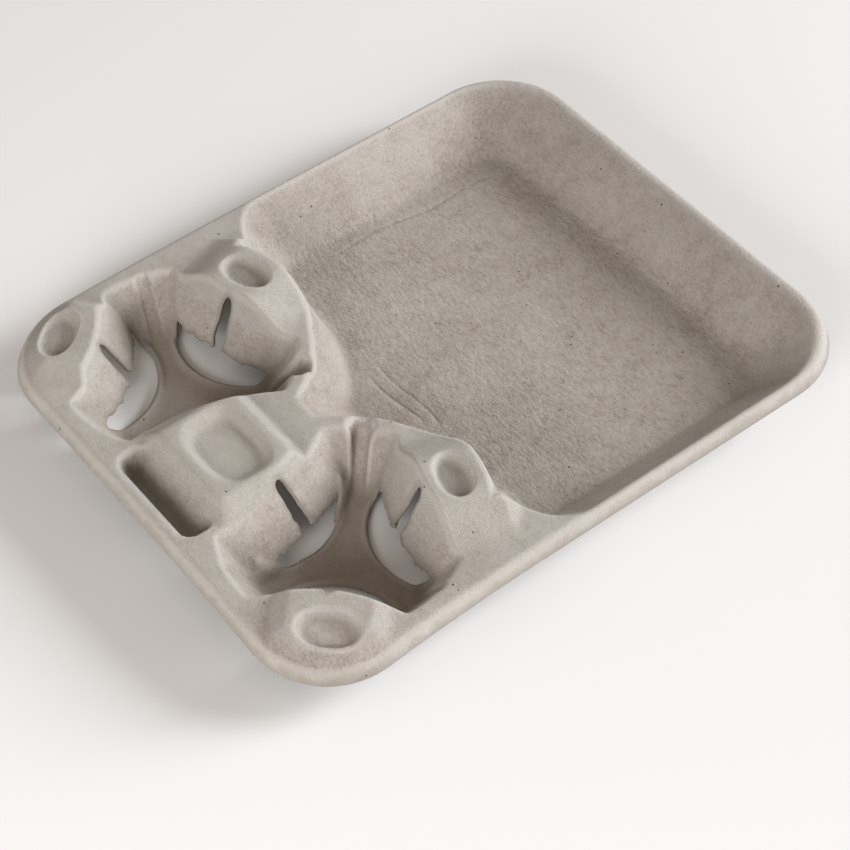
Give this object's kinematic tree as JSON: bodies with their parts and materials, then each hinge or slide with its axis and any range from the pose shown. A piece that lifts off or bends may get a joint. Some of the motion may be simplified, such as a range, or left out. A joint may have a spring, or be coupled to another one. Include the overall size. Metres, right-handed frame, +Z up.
{
  "type": "moulded fibre cup and food carrier tray",
  "caption": "Moulded pulp carrier with cup sockets gripped by slit flaps, hollow domes between them, a small side pocket and a deep food compartment.",
  "frame": {"origin": "centre of the tray's outline, on the surface it rests on", "axes": "+Z up, +X along the length from the cup sockets to the food compartment, +Y across the width towards one of the two mirrored sockets"},
  "size_m": [0.325, 0.265, 0.041],
  "materials": {
    "moulded_pulp": "matt felted grey-beige fibre with raw edges"
  },
  "bodies": {
    "root": {"carrier_tray": "moulded_pulp"}
  },
  "joints": []
}
